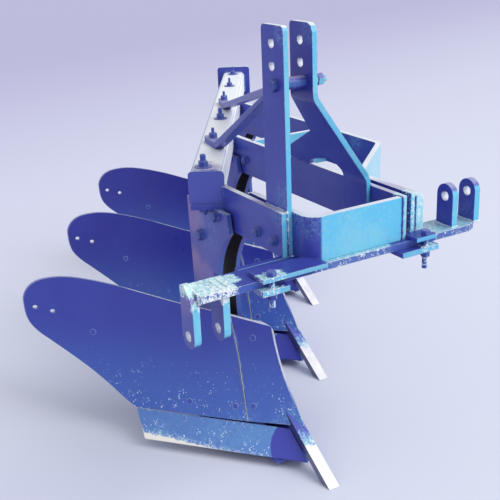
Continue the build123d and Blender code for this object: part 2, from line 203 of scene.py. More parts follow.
def enamel(name, worn=(), bright=(), lit_bores=(), chips=1.0, top_light_and_dust=1.0, forward_light=1.0, outline=0.12,
           base=(BLUE, DEEP), low=None, mottled=1.0, gap=None, dull=(), rosy=(), rim=False,
           shade=0.0, slanted=SLANTED_LIGHT, lean=(0.86, 0.92), shift=(0, 0, 0)):
    # chips, top_light_and_dust, forward_light, outline, mottled and shade are amounts:
    # top_light_and_dust of a pale tone on faces that look up, painted top light with some
    # dust, forward_light of painted sunlight on faces that look ahead, and shade of painted
    # shade on faces that look up. worn, dull and rosy are spots, bright areas are pale, part
    # flaked paint and part painted sunlight, lit_bores are holes with painted light and shade
    # inside, and rim is a painted highlight on a sheet's cut edge. low is the tone near the
    # ground, gap the middle and half width in mm of a gap painted in shade, and slanted the
    # painted sunlight on faces that look ahead by more than the cosines in lean.
    material, tree, shader, w = new_finish(name)
    coords = w.add("ShaderNodeTexCoord", {}, {}, OBJECT)
    normal = w.add("ShaderNodeTexCoord", {}, {}, NORMAL)
    upward = normal.part(Z)
    ahead = normal.dot((0.80, 0.60, 0.0))
    x = coords.part(X)
    y = coords.part(Y)
    z = coords.part(Z)

    cloud = coords.noise(5.0, 3.0)
    mottle = coords.noise(38.0, 3.0)
    brush = coords.stretched((14.0, 14.0, 160.0)).noise(3.0, 2.0)
    speck = coords.noise(260.0, 2.0, 0.7)
    fleck = coords.noise(95.0, 3.0, 0.65)

    rounded = w.add("ShaderNodeBevel", {"samples": 4}, {"Radius": 0.0030})
    flat = w.add("ShaderNodeNewGeometry", {}, {}, 3)
    edge = (1.0 - rounded.dot(flat)).step(0.01, 0.12)

    near = spots(w, coords, cloud, worn, shift)
    dimmed = spots(w, coords, cloud, dull, shift)
    pink = spots(w, coords, cloud, rosy, shift)
    rub = edge * 0.30 + fleck * 0.5 + speck * 0.42 + (cloud - 0.5) * 0.35
    if near is not None:
        rub = rub + near * 0.24
    shine = pale_areas(w, coords, (fleck - 0.5) * 0.045 + (cloud - 0.5) * 0.02, bright, shift)
    if shine is not None:
        rub = rub + shine * 0.40
    chipped = rub.step(0.84, 0.90) * chips

    colour = w.tint(cloud.step(0.35, 0.68) * 0.6, *base)
    if low is not None:
        colour = w.tint(z.step(0.42, 0.10) * 0.85, colour, low)
    colour = w.tint((mottle - 0.5).step(0.02, 0.2) * (0.22 * mottled), colour, MOTTLE)
    # Painted sunlight on faces that look ahead, paler and streaked at random, and paler again on faces
    # that look further ahead.
    lit_ahead = ahead.step(0.64, 0.76) * forward_light
    front = w.tint(ahead.step(*lean), FORWARD_LIGHT, slanted)
    paler_light = (cloud + (fleck - 0.5) * 0.6).step(0.40, 0.62) * 0.55 * mottled
    front = w.tint(paler_light, front, PALER_LIGHT)
    front = w.tint((mottle - 0.5).step(0.0, 0.25) * 0.30, front, STREAKED)
    colour = w.tint(lit_ahead, colour, front)
    if pink is not None:
        colour = w.tint(pink * (0.55 + (cloud - 0.5) * 1.2), colour, ROSY)
    # Painted shade on faces that look up, for the shaft and clamps under the frame.
    if shade > 0:
        colour = w.tint(upward.step(0.4, 0.9) * shade, colour, SHADED)
    # A pale tone on faces that look up: painted top light, with some dust.
    lit_top_and_dust = upward.step(0.55, 0.9) * (0.93 + (mottle - 0.5) * 0.25 + (cloud - 0.5) * 0.3) * top_light_and_dust
    # At the dull spots the pale top tone turns a dimmer lilac.
    powder = TOP_LIGHT_AND_DUST
    if dimmed is not None:
        powder = w.tint(dimmed * 0.9, TOP_LIGHT_AND_DUST, DIM_LILAC)
    colour = w.tint(lit_top_and_dust, colour, powder)
    if rim:
        # Painted highlight along the cut edge of a pressed sheet, but hardly out by the wing.
        across = w.math("ABSOLUTE", normal.part(X), 0.0)
        wing_side, shin_side = (at(0, shift[Y] + offset, 0).y for offset in (-345, -305))
        inboard = y.step(wing_side, shin_side, 0.10, 1.0)
        cut = across.step(0.40, 0.22) * (0.6 + fleck.step(0.35, 0.6) * 0.4) * inboard
        colour = w.tint(cut, colour, PALE_HIGHLIGHT)
    colour = w.tint(edge * outline, colour, OUTLINE)
    if near is not None:
        colour = w.tint(near * fleck.step(0.38, 0.66) * 0.45, colour, RUBBED)
    # Pale areas: part flaked paint, part painted sunlight.
    if shine is not None:
        if shade > 0:
            shine = shine * upward.step(0.05, 0.5, 0.14, 1.0)
        patchy = 0.72 + (mottle - 0.5) * 0.9 + (fleck - 0.5) * 0.5
        colour = w.tint(shine * patchy, colour, FLAKED_AND_LIT)
    colour = w.tint(chipped, colour, CHIP)
    # Painted light and shade in each bore: a painted highlight on its lower wall, painted shade on its
    # upper wall.
    for bx, bz, r in lit_bores:
        spot = at(bx + shift[X], 0, bz)
        wide = w.math("POWER", x - spot.x, 2.0) + w.math("POWER", z - spot.z, 2.0)
        inside = w.math("SQRT", wide, 0.0).step(r / 1000 + 0.0014, r / 1000 + 0.0002)
        level = spot.z + spot.x * 0.5
        lit = (z + x * 0.5).step(level + 0.006, level - 0.003)
        colour = w.tint(inside * 0.9, colour, w.tint(lit, BORE_SHADE, PALE_HIGHLIGHT))
    if gap is not None:
        # Painted shade: the inner faces of a pair of plates, dark almost to black.
        middle, half = at(0, gap[0] + shift[Y], 0).y, gap[1] / 1000
        inner = w.math("ABSOLUTE", y - middle, 0.0).step(half + 0.002, half)
        colour = w.tint(inner * 0.97, colour, GAP_SHADE)
    rough = 0.32 + (mottle - 0.5) * 0.2 + lit_top_and_dust * 0.25 + chipped * 0.2

    height = brush * 0.3 + mottle * 0.4 * mottled + speck * 0.10 - chipped * 0.25
    sizes = {"Strength": 0.20, "Distance": 0.0012}
    bump = w.add("ShaderNodeBump", {}, {**sizes, "Height": height, "Normal": rounded})
    tree.links.new(colour.socket, shader.inputs["Base Color"])
    tree.links.new(rough.socket, shader.inputs["Roughness"])
    tree.links.new(bump.socket, shader.inputs["Normal"])
    shader.inputs["Specular IOR Level"].default_value = 0.4
    return material


# Frame, mast and hitch. Bars on edge welded to a square tube, two mast plates and
# two bent stays, worn through at the bar ends and the seams, and pale at the shaft's
# right end, part worn through and part painted sunlight.
BEAM_TOP, BAR_TOP, BAR_FOOT = 887, 842, 718
frame_worn = [
    ((-30, -46, 830), 0.07, 0.7),
    ((-107, -60, 850), 0.08, 0.6),
    ((-668, 590, 830), 0.05, 0.8),
    ((-107, -60, 1310), 0.06, 0.8),
    ((-107, 25, 1310), 0.06, 0.8),
    ((4, 317, 705), 0.05, 0.8),
    ((-1880, 740, 900), 0.06, 0.9),
]
frame_bright = [
    ((-70, 254, None), (0, 291, None), 0.85),
    ((-75, 299, None), (0, 360, None), 0.95),
    ((-124, None, 1324), (-90, None, 1345), 0.6),
]
# Holes in the mast plates and lugs, with painted light and shade inside: x, z and radius in mm.
MAST_BORES = [(-164, 1283, 12.95), (-164, 1225, 12.95)]
LUG_BORES = [(-52, 597, 14.35), (-52, 805, 14.35)]
frame_paint = enamel("frame_enamel", frame_worn, frame_bright, MAST_BORES)
beam_dull = [((-505, -105, BEAM_TOP), 0.075, 1.0), ((-545, -75, BEAM_TOP), 0.04, 0.8)]
beam_tones = (rgba(0.085, 0.11, 0.47), rgba(0.080, 0.10, 0.43))
# The beam's side that looks ahead is painted near white: painted sunlight.
beam_paint = enamel("beam_enamel", dull=beam_dull, mottled=0.15, top_light_and_dust=1.15, base=beam_tones,
                    slanted=rgba(0.96, 0.98, 0.98), lean=(0.60, 0.68))
bar_dull = [
    ((-200, -82, BAR_TOP), 0.10, 0.9),
    ((-440, -82, BAR_TOP), 0.09, 0.9),
    ((-60, 300, BAR_TOP), 0.20, 0.8),
]
bar_paint = enamel("bar_enamel", frame_worn, frame_bright, dull=bar_dull)
stay_dull = [((-500, 60, 950), 3.0, 1.0)]
stay_paint = enamel("stay_enamel", top_light_and_dust=0.72, forward_light=0.15, outline=0.25, dull=stay_dull)
# Pale areas on the shaft, part flaked paint and part painted sunlit patches; the rest of its top carries
# painted shade.
shaft_bright = [
    ((None, -460, None), (None, -288, None), 1.0),
    ((-95, -300, None), (-40, -258, None), 1.0),
    ((None, 368, None), (None, 640, None), 0.8),
    ((-30, -60, None), (30, 205, None), 0.8),
]
shaft_paint = enamel("shaft_enamel", bright=shaft_bright, top_light_and_dust=0.0, forward_light=0.08, outline=0.5, shade=0.9)
lug_worn = [((-50, 490, 735), 0.06, 0.6)]
lug_bright = [((None, -440, 703), (None, -280, 780), 1.0), ((-30, -440, 676), (20, -280, 706), 1.0)]
lug_rosy = [((-70, -415, 700), 0.06, 0.6)]
lug_paint = enamel("lug_enamel", lug_worn, lug_bright, LUG_BORES, outline=0.25, rosy=lug_rosy,
                   top_light_and_dust=0.35)
# Pale areas on the clamps, part flaked paint and part painted sunlight on their lit fronts; their tops
# carry painted shade.
clamp_bright = [
    ((-24, -240, 700), (50, -155, 760), 0.9),
    ((-24, -240, 640), (50, -178, 712), 0.9),
    ((-24, 300, 640), (50, 352, 708), 0.9),
]
clamp_paint = enamel("clamp_enamel", bright=clamp_bright, top_light_and_dust=0.0, forward_light=0.8, outline=0.3, shade=0.8)
nut_tones = (BLUE, rgba(0.020, 0.028, 0.20))
nut_paint = enamel("nut_enamel", chips=0.6, top_light_and_dust=0.10, forward_light=0.12, outline=0.20, base=nut_tones)
OWN_COATS = {
    "cross_shaft": shaft_paint,
    "hitch_lugs": lug_paint,
    "shaft_clamp": clamp_paint,
    "stay": stay_paint,
    "main_beam": beam_paint,
    "near_frame_bar": bar_paint,
    "middle_frame_bar": bar_paint,
    "far_frame_bar": bar_paint,
}
for name, part in nodes.items():
    coats = [coat for start, coat in OWN_COATS.items() if name.startswith(start)]
    part.data.materials.clear()
    part.data.materials.append(coats[0] if coats else frame_paint)


# Ploughing bodies. Pressed moldboards and shins, forged shares and cast frogs, all
# under the same blue enamel, with pale scuffs low down where they met the ground.
BODIES = [(-550 * k, 352 * k, 0) for k in range(3)]
body_worn = [
    ((-300, -150, 110), 0.09, 0.45),
    ((-420, -300, 110), 0.10, 0.4),
    ((-180, -20, 110), 0.10, 0.8),
    ((-330, -230, 60), 0.12, 0.5),
    ((-480, -360, 40), 0.10, 0.8),
]
leg_worn = [((-500, -114, 700), 0.12, 0.3)]
leg_rosy = [
    ((-600, -114, 730), 0.10, 1.0),
    ((-595, -114, 560), 0.075, 0.8),
    ((-530, -114, 520), 0.08, 0.8),
]
SCRATCH = rgba(0.62, 0.74, 0.90)


def scoured(material, away, high, low, cutting):
    # White scratches and pits that soil leaves on a plate, none above the height high
    # and most below low. On a board also the shin's outer edge, rubbed white. On a share
    # the worn cutting edge by the wing and a darker round patch by the point's bar.
    tree = material.node_tree
    shader = tree.nodes["Principled BSDF"]
    w = Wire(tree, None)
    coords = w.add("ShaderNodeTexCoord", {}, {}, OBJECT)
    y = coords.part(Y)
    z = coords.part(Z)
    colour = Wire(tree, shader.inputs["Base Color"].links[0].from_socket)
    cells = w.add("ShaderNodeTexVoronoi", {}, {"Vector": coords, "Scale": 165.0, "Randomness": 1.0})
    crowd = coords.noise(16.0, 2.0)
    size = z.step(high, low, 0.0, 0.44) * crowd.step(0.35, 0.65, 0.35, 1.0)
    pits = w.math("LESS_THAN", cells, size * coords.noise(60.0, 1.0).step(0.46, 0.64))
    colour = w.tint(pits * 0.85, colour, SCRATCH)

    def side(offset):
        return at(0, away[Y] + offset, 0).y

    if cutting:
        centre = tuple(at(-150 + away[X], -15 + away[Y], 70))
        round_area = coords.distance(centre) + (crowd - 0.5) * 0.004
        colour = w.tint(round_area.step(0.099, 0.096), colour, rgba(0.050, 0.062, 0.40))
        from_left = (side(-205) - y) * 0.095
        reach = from_left + 0.034 + (coords.noise(45.0, 3.0, 0.7) - 0.5) * 0.016
        powder = (reach + 0.014 - z).step(0.0, 0.016) * coords.noise(130.0, 2.0, 0.6).step(0.42, 0.62)
        colour = w.tint(powder * 0.8, colour, rgba(0.62, 0.76, 0.90))
        colour = w.tint((reach - z).step(-0.001, 0.003), colour, rgba(0.88, 0.86, 0.80))
    else:
        ragged = (coords.noise(90.0, 2.0) - 0.5) * 0.004
        outer = (y + ragged).step(side(6.5), side(8.5)) * z.step(0.15, 0.26)
        leaning = z + (y - side(0)) * 0.317 + ragged
        upper = leaning.step(0.3915, 0.3935) * y.step(side(-86), side(-84))
        colour = w.tint(w.math("MAXIMUM", outer, upper) * 0.9, colour, rgba(0.80, 0.84, 0.92))
    tree.links.new(colour.socket, shader.inputs["Base Color"])


TONES = (
    (rgba(0.046, 0.066, 0.39), rgba(0.040, 0.050, 0.36)),
    (rgba(0.034, 0.044, 0.36), rgba(0.027, 0.030, 0.31)),
    (rgba(0.034, 0.042, 0.34), rgba(0.028, 0.030, 0.30)),
)
SHARE_TONES = (rgba(0.105, 0.25, 0.58), rgba(0.080, 0.17, 0.52))
for k, away in enumerate(BODIES):
    board_paint = enamel(f"board_enamel_{k + 1}", body_worn, forward_light=0.0, top_light_and_dust=0.15, outline=0.3,
                         base=TONES[k], low=rgba(0.062, 0.150, 0.52), mottled=0.25, rim=True, shift=away)
    scoured(board_paint, away, 0.40, 0.05, False)
    share_paint = enamel(f"share_enamel_{k + 1}", body_worn, forward_light=0.0, top_light_and_dust=0.0, outline=0.4,
                         base=SHARE_TONES, mottled=0.6, shift=away)
    scoured(share_paint, away, 0.30, 0.11, True)
    leg_paint = enamel(f"leg_enamel_{k + 1}", leg_worn, forward_light=0.10, top_light_and_dust=0.4, outline=0.2,
                       base=(BLUE, rgba(0.055, 0.050, 0.34)), gap=(-76, 22), rosy=leg_rosy, shift=away)
    head_paint = enamel(f"leg_head_enamel_{k + 1}", forward_light=0.2, top_light_and_dust=0.08, outline=0.2, shift=away)
    for part_name, coat in (
        ("moldboard", board_paint),
        ("shin", board_paint),
        ("wing_brace", board_paint),
        ("share", share_paint),
        ("leg", leg_paint),
        ("frog", head_paint),
        ("landside", head_paint),
        ("leg_clamp", head_paint),
    ):
        nodes[f"{part_name}_{k + 1}"].data.materials[0] = coat


# Stays. Flat bar with rolled, well rounded edges, bent flat at its foot on the beam
# and bolted there. The CAD bars again, with their long edges rounded.
LONG, ROUNDING, CORNER_TURN = 0.08, 0.0050, math.radians(50)
for name in ("stay_right", "stay_left"):
    work = bmesh.new()
    work.from_mesh(nodes[name].data)
    bmesh.ops.remove_doubles(work, verts=work.verts, dist=0.00002)
    bmesh.ops.dissolve_limit(work, angle_limit=math.radians(2), verts=work.verts, edges=work.edges)
    corners = [
        edge for edge in work.edges
        if len(edge.link_faces) == 2
        and edge.calc_face_angle(0.0) > CORNER_TURN
        and edge.calc_length() > LONG
    ]
    bmesh.ops.bevel(work, geom=corners, offset=ROUNDING, segments=3, profile=0.5, affect="EDGES",
                    clamp_overlap=False)
    rolled = bpy.data.meshes.new(f"{name}_bar")
    work.to_mesh(rolled)
    work.free()
    rolled.materials.append(stay_paint)
    piece = bpy.data.objects.new(f"{name}_bar", rolled)
    scene.collection.objects.link(piece)
    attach(piece, "plough")
    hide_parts(name)


# Moldboards and shins. The same pressed sheets with their cut outlines run smooth, on
# the ruled surface between an upright section at the shin and one at the wing.
FRONT_SEC = [(-113, 60), (-242, 215), (-319, 352), (-341, 489), (-341, 560)]
WING_SEC = [(-912, 60), (-915, 215), (-921, 352), (-940, 489), (-948, 560)]
BOARD_RUN = [
    (-361, 105), (-381, 125), (-416, 171), (-459, 221), (-502, 264), (-542, 302), (-575, 334),
    (-593, 363), (-600, 402), (-598, 448), (-580, 484), (-552, 508), (-506, 522), (-470, 524),
    (-422, 518), (-352, 501), (-283, 478), (-204, 452), (-143, 436), (-88.5, 424),
]
BOARD_CLOSE = [(-85.5, 300), (-112.5, 110), (-240, 107)]
BOARD_BOX = (-600, -85.5, 105, 524)
BOARD_HOLES = [(-572, 417), (-528, 406)]
SHIN_RUN = [(12, 118), (12, 240), (12, 372), (8, 388), (-8, 401), (-34, 407), (-86, 423.5)]
SHIN_CLOSE = [(-83, 300), (-110, 110), (-29, 116)]
SHIN_BOX = (-110, 12, 110, 423.5)
FRONT_SIDE, SPAN, THICK = 20, 660, 0.011
HOLE_RADIUS, HOLE_SIDES = 7, 20
GRID_ROWS, GRID_COLUMNS, GRID_MARGIN = 28, 20, 8
INSIDE_ONLY, NEARNESS = 1, 0.01


def section_x(section, z):
    # How far forward a section is at a height: a bow through its three middle points,
    # and straight above and below it.
    (ax, az), (bx, bz), (cx, cz), (dx, dz), (ex, ez) = section
    if z < bz:
        return ax + (bx - ax) * (z - az) / (bz - az)
    if z > dz:
        return dx + (ex - dx) * (z - dz) / (ez - dz)
    turn = 2 * (bx * (cz - dz) + cx * (dz - bz) + dx * (bz - cz))
    b2, c2, d2 = bx * bx + bz * bz, cx * cx + cz * cz, dx * dx + dz * dz
    ox = (b2 * (cz - dz) + c2 * (dz - bz) + d2 * (bz - cz)) / turn
    oz = (b2 * (dx - cx) + c2 * (bx - dx) + d2 * (cx - bx)) / turn
    radius = math.hypot(bx - ox, bz - oz)
    side = 1 if cx > ox else -1
    return ox + side * math.sqrt(max(radius * radius - (z - oz) ** 2, 0.0))


def skin_x(y, z):
    # The ruled surface: a straight line at each height from section to section.
    t = (FRONT_SIDE - y) / SPAN
    return section_x(FRONT_SEC, z) * (1 - t) + section_x(WING_SEC, z) * t


def smooth_run(points, steps=7):
    # A curve through the points with tangents by centripetal spacing.
    run = []
    first = (2 * points[0][0] - points[1][0], 2 * points[0][1] - points[1][1])
    last = (2 * points[-1][0] - points[-2][0], 2 * points[-1][1] - points[-2][1])
    chain = [Vector(q) for q in [first] + list(points) + [last]]
    for a, b, c, d in zip(chain, chain[1:], chain[2:], chain[3:]):
        t1 = (b - a).length ** 0.5
        t2 = t1 + (c - b).length ** 0.5
        t3 = t2 + (d - c).length ** 0.5
        for i in range(steps):
            t = t1 + (t2 - t1) * i / steps
            p = a * ((t1 - t) / t1) + b * (t / t1)
            q = b * ((t2 - t) / (t2 - t1)) + c * ((t - t1) / (t2 - t1))
            r = c * ((t3 - t) / (t3 - t2)) + d * ((t - t2) / (t3 - t2))
            p = p * ((t2 - t) / t2) + q * (t / t2)
            q = q * ((t3 - t) / (t3 - t1)) + r * ((t - t1) / (t3 - t1))
            run.append(p * ((t2 - t) / (t2 - t1)) + q * ((t - t1) / (t2 - t1)))
    run.append(chain[-2])
    return run


def sheet_mesh(name, run, close, holes, box, rearmost, shift):
    # One sheet: its outline and holes filled with faces, laid on the ruled surface and
    # given its thickness. The outline stays inside box, the back ahead of rearmost.
    low_y, high_y, low_z, high_z = box
    outer = [Vector((min(max(y, low_y), high_y), min(max(z, low_z), high_z))) for y, z in smooth_run(run)]
    loops = [outer + [Vector(corner) for corner in close]]
    turns = [i * math.tau / HOLE_SIDES for i in range(HOLE_SIDES)]
    for hole_y, hole_z in holes:
        loops.append([Vector((hole_y + HOLE_RADIUS * math.cos(t), hole_z + HOLE_RADIUS * math.sin(t)))
                      for t in turns])
    flat = []
    edges = []
    for loop in loops:
        first = len(flat)
        flat += loop
        edges += [(first + i, first + (i + 1) % len(loop)) for i in range(len(loop))]
    on_outline = list(flat)
    for row in range(GRID_ROWS):
        for column in range(GRID_COLUMNS):
            y = low_y + (high_y - low_y) * (row + 0.5) / GRID_ROWS
            z = low_z + (high_z - low_z) * (column + 0.5) / GRID_COLUMNS
            point = Vector((y, z))
            if min((point - other).length for other in on_outline) > GRID_MARGIN:
                flat.append(point)
    verts, _, faces = delaunay_2d_cdt(flat, edges, [], INSIDE_ONLY, NEARNESS)[:3]
    kept = []
    for face in faces:
        middle = sum((verts[i] for i in face), Vector((0, 0))) / len(face)
        if all((middle - Vector(hole)).length > HOLE_RADIUS - 0.4 for hole in holes):
            kept.append(tuple(face))
    front = [at(skin_x(v.x, v.y) + shift[X], v.x + shift[Y], v.y) for v in verts]
    back = [Vector((max(p.x - THICK, rearmost), p.y, p.z)) for p in front]
    n = len(front)
    sides = {}
    for face in kept:
        for a, b in zip(face, face[1:] + face[:1]):
            sides.setdefault((min(a, b), max(a, b)), []).append((a, b))
    walls = [(a, b, b + n, a + n) for pairs in sides.values() if len(pairs) == 1 for a, b in pairs]
    mesh = bpy.data.meshes.new(name)
    turned = [face[::-1] for face in kept]
    behind = [tuple(i + n for i in face) for face in kept]
    mesh.from_pydata(front + back, [], turned + behind + walls)
    if mesh.polygons[0].normal.x < 0:
        mesh.flip_normals()
    for polygon in mesh.polygons[:2 * len(kept)]:
        polygon.use_smooth = True
    mesh.update()
    mesh.validate()
    sharp = mesh.attributes.new("sharp_edge", "BOOLEAN", "EDGE")
    rim = {tuple(sorted(pair)) for face in walls for pair in (face[:2], face[2:])}
    for edge in mesh.edges:
        sharp.data[edge.index].value = tuple(sorted(edge.vertices)) in rim
    return mesh


sheets = {}
for k, away in enumerate(BODIES):
    for label, run, close, holes, box in (
        ("moldboard", BOARD_RUN, BOARD_CLOSE, BOARD_HOLES, BOARD_BOX),
        ("shin", SHIN_RUN, SHIN_CLOSE, [], SHIN_BOX),
    ):
        name = f"{label}_{k + 1}"
        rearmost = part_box(name)[0][0]
        mesh = sheet_mesh(f"{label}_sheet_{k + 1}", run, close, holes, box, rearmost, away)
        mesh.materials.append(nodes[name].data.materials[0])
        sheet = bpy.data.objects.new(f"{label}_sheet_{k + 1}", mesh)
        scene.collection.objects.link(sheet)
        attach(sheet, "plough")
        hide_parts(name)
        sheets[name] = sheet


# Bar points. Square bar of hard steel, ground bare at the tip, with the enamel
# starting where the bar leaves the body's nose.
PAINT_START = -128


def bare_bar(name, shift):
    material, tree, shader, w = new_finish(name)
    coords = w.add("ShaderNodeTexCoord", {}, {}, OBJECT)
    normal = w.add("ShaderNodeTexCoord", {}, {}, NORMAL)
    along = coords.part(X)
    cloud = coords.noise(22.0, 3.0)
    grain = coords.stretched((30.0, 300.0, 30.0)).noise(3.0)
    start = at(PAINT_START + shift[X], 0, 0).x
    bare = (along + (coords.noise(60.0, 4.0, 0.7) - 0.5) * 0.09).step(start - 0.006, start + 0.010)
    # Bare steel shows mostly on faces that look up; the sides keep their enamel.
    bare = bare * normal.part(Z).step(-0.1, 0.4, 0.10, 1.0)
    steel = w.tint(cloud.step(0.35, 0.7), rgba(0.72, 0.71, 0.76), rgba(0.60, 0.59, 0.66))
    rust = coords.noise(70.0, 3.0, 0.6).step(0.62, 0.74) * 0.15
    steel = w.tint(rust, steel, rgba(0.35, 0.25, 0.20))
    scuffed = (along + (coords.noise(120.0, 3.0, 0.7) - 0.5) * 0.16).step(start - 0.045, start + 0.005)
    paint = w.tint(scuffed * 0.9, BLUE, rgba(0.30, 0.58, 0.70))
    # Painted shade: the bar's side faces are darker.
    shaded_sides = w.math("ABSOLUTE", normal.part(Y), 0.0).step(0.5, 0.8)
    paint = w.tint(shaded_sides, paint, rgba(0.030, 0.036, 0.16))
    colour = w.tint(bare, paint, steel)
    rough = 0.36 + grain * 0.18 + rust * 0.3
    height = grain + cloud * 0.6
    bump = w.add("ShaderNodeBump", {}, {"Strength": 0.25, "Distance": 0.001, "Height": height})
    tree.links.new(colour.socket, shader.inputs["Base Color"])
    tree.links.new((bare * 0.30 * (1.0 - rust)).socket, shader.inputs["Metallic"])
    tree.links.new(rough.socket, shader.inputs["Roughness"])
    tree.links.new(bump.socket, shader.inputs["Normal"])
    return material


for k, away in enumerate(BODIES):
    nodes[f"bar_point_{k + 1}"].data.materials[0] = bare_bar(f"bare_bar_{k + 1}", away)


# Nuts on studs. Hexagon nuts with turned-down corners on cut studs, each on a round
# washer, under the same paint as the frame.
STUD_SIZES = (
    "Nut Width", "Nut Height", "Stud Radius", "Stud Length", "Washer Radius", "Washer Height",
)
HALF_OVER_FLATS = 0.57735  # a hexagon's corner radius over its width across flats


def new_tree(name, *sizes):
    # A tree that takes a geometry, the named sizes and a finish, and gives a geometry.
    tree = bpy.data.node_groups.new(name, "GeometryNodeTree")
    tree.interface.new_socket("Geometry", in_out="INPUT", socket_type="NodeSocketGeometry")
    for label in sizes:
        tree.interface.new_socket(label, in_out="INPUT", socket_type="NodeSocketFloat")
    tree.interface.new_socket("Finish", in_out="INPUT", socket_type="NodeSocketMaterial")
    tree.interface.new_socket("Geometry", in_out="OUTPUT", socket_type="NodeSocketGeometry")
    given = tree.nodes.new("NodeGroupInput")
    return Wire(tree, None), {socket.name: Wire(tree, socket) for socket in given.outputs if socket.name}


def close_tree(w, shape, given):
    # Every tree ends as plain mesh with its finish on.
    real = w.add("GeometryNodeRealizeInstances", {}, {0: shape})
    coat = w.add("GeometryNodeSetMaterial", {}, {0: real, "Material": given["Finish"]})
    w.tree.links.new(coat.socket, w.tree.nodes.new("NodeGroupOutput").inputs[0])
    return w.tree


def aimed(w):
    # The turn that takes +Z to the direction stored with each point.
    axis = w.add("GeometryNodeInputNamedAttribute", {"data_type": "FLOAT_VECTOR"}, {"Name": "axis"})
    return w.add("FunctionNodeAlignRotationToVector", {"axis": "Z"}, {"Vector": axis})


def disc(w, sides, top, bottom, depth):
    # A round or six-sided disc, its top smaller than its bottom where it is turned down.
    sizes = {"Vertices": sides, "Radius Top": top, "Radius Bottom": bottom, "Depth": depth}
    return w.add("GeometryNodeMeshCone", {}, sizes)


def stud_tree():
    w, given = new_tree("stud_and_nut", *STUD_SIZES)
    width, tall, stud_r, stud_l, washer_r, washer_h = [given[label] for label in STUD_SIZES]

    def lift(solid, height):
        up_by = w.add("ShaderNodeCombineXYZ", {}, {Z: height})
        return w.add("GeometryNodeTransform", {}, {0: solid, "Translation": up_by})

    corner = width * HALF_OVER_FLATS
    nut_low = tall * 0.82
    washer_low = washer_h * 0.75
    solids = [
        disc(w, 24, washer_r, washer_r, washer_low),
        lift(disc(w, 24, washer_r * 0.94, washer_r, washer_h * 0.25), washer_low),
        lift(disc(w, 6, corner, corner, nut_low), washer_h),
        lift(disc(w, 6, corner * 0.88, corner, tall * 0.18), washer_h + nut_low),
        lift(disc(w, 14, stud_r, stud_r, stud_l), washer_h),
        lift(disc(w, 14, stud_r * 0.7, stud_r, stud_r * 0.35), washer_h + stud_l),
    ]
    whole = w.add("GeometryNodeJoinGeometry", {}, {})
    join = whole.socket.node
    for solid in solids:
        w.tree.links.new(solid.socket, join.inputs[0])
    turn = w.add("FunctionNodeRandomValue", {"data_type": "FLOAT"}, {2: 0.0, 3: 1.05, "Seed": 7}, 1)
    roll = w.add("FunctionNodeAxisAngleToRotation", {}, {"Angle": turn})
    both = w.add("FunctionNodeRotateRotation", {"rotation_space": "LOCAL"}, {0: aimed(w), 1: roll})
    sockets = {"Points": given["Geometry"], "Instance": whole, "Rotation": both}
    return close_tree(w, w.add("GeometryNodeInstanceOnPoints", {}, sockets), given)


def grown(name, tree, points, edges, vectors, values, body="plough"):
    # Runs a node tree on a few points or lines and keeps the result as plain mesh.
    seed = bpy.data.meshes.new(name)
    seed.from_pydata(points, edges, [])
    if vectors:
        axis = seed.attributes.new("axis", "FLOAT_VECTOR", "POINT")
        for item, vector in zip(axis.data, vectors):
            item.vector = vector
    carrier = bpy.data.objects.new(name + "_seed", seed)
    scene.collection.objects.link(carrier)
    modifier = carrier.modifiers.new("grow", "NODES")
    modifier.node_group = tree
    for item in tree.interface.items_tree:
        if item.item_type == "SOCKET" and item.in_out == "INPUT" and item.name in values:
            modifier[item.identifier] = values[item.name]
    carrier.update_tag()
    ready = carrier.evaluated_get(bpy.context.evaluated_depsgraph_get())
    mesh = bpy.data.meshes.new_from_object(ready)
    carrier.modifiers.remove(modifier)
    bpy.data.objects.remove(carrier)
    piece = bpy.data.objects.new(name, mesh)
    scene.collection.objects.link(piece)
    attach(piece, body)
    return piece


studs = stud_tree()


def fasteners(name, places, nut, nut_h, stud_r, stud_l, washer_r, washer_h, finish=nut_paint):
    # One nut, stud and washer at each place, with their sizes in mm.
    points = [at(*place) for place, _ in places]
    axes = [axis for _, axis in places]
    sizes = (nut, nut_h, stud_r, stud_l, washer_r, washer_h)
    values = {label: size / 1000 for label, size in zip(STUD_SIZES, sizes)}
    values["Finish"] = finish
    return grown(name, studs, points, [], axes, values)


BEAM_START, BEAM_WAY = (-459, -129), (-0.84227, 0.53906)
STAY_FOOT_TOP = 907


def on_beam(along, z):
    # A place on the beam's middle line, by its distance from the near end.
    return (BEAM_START[X] + BEAM_WAY[X] * along, BEAM_START[Y] + BEAM_WAY[Y] * along, z)


UP, DOWN = (0, 0, 1), (0, 0, -1)
OUT, IN = (0, -1, 0), (0, 1, 0)
LEG_SIDES = ((-114, OUT), (-38, IN))
fasteners("beam_stud_nuts", [((-512.6, -107.7, BEAM_TOP), UP)], 27, 17, 9, 34, 27, 2.5)
fasteners("middle_stud_nut", [(on_beam(722, BEAM_TOP), UP)], 25, 17, 7.5, 36, 25, 2.5)
rear_studs = [(on_beam(along, BEAM_TOP), UP) for along in (1385, 1690)]
fasteners("rear_stud_nuts", rear_studs, 22, 14, 5, 32, 24, 2.5)
stay_studs = [(on_beam(along, STAY_FOOT_TOP), UP) for along in (343, 979)]
fasteners("stay_stud_nuts", stay_studs, 25, 15, 5, 30, 14, 2)
bar_bolts = [((-236, -91, 755), OUT), ((-150, -91, 753), OUT), ((-885, 256, 768), OUT)]
bar_bolts += [((-225, 274, 780), IN), ((-525, 274, 800), IN)]
fasteners("bar_bolts", bar_bolts, 24, 11, 7, 12, 16, 3)
fasteners("mast_bolt_head", [((-150, -73, 1175.9), OUT)], 30, 13, 6, 10, 15, 1)
fasteners("mast_bolt_nut", [((-150, 30, 1175.9), IN)], 30, 20, 9, 27, 14, 25, lug_paint)
CLAMP_BOLTS = ((4, -197), (4, 317), (-115, 284.5))
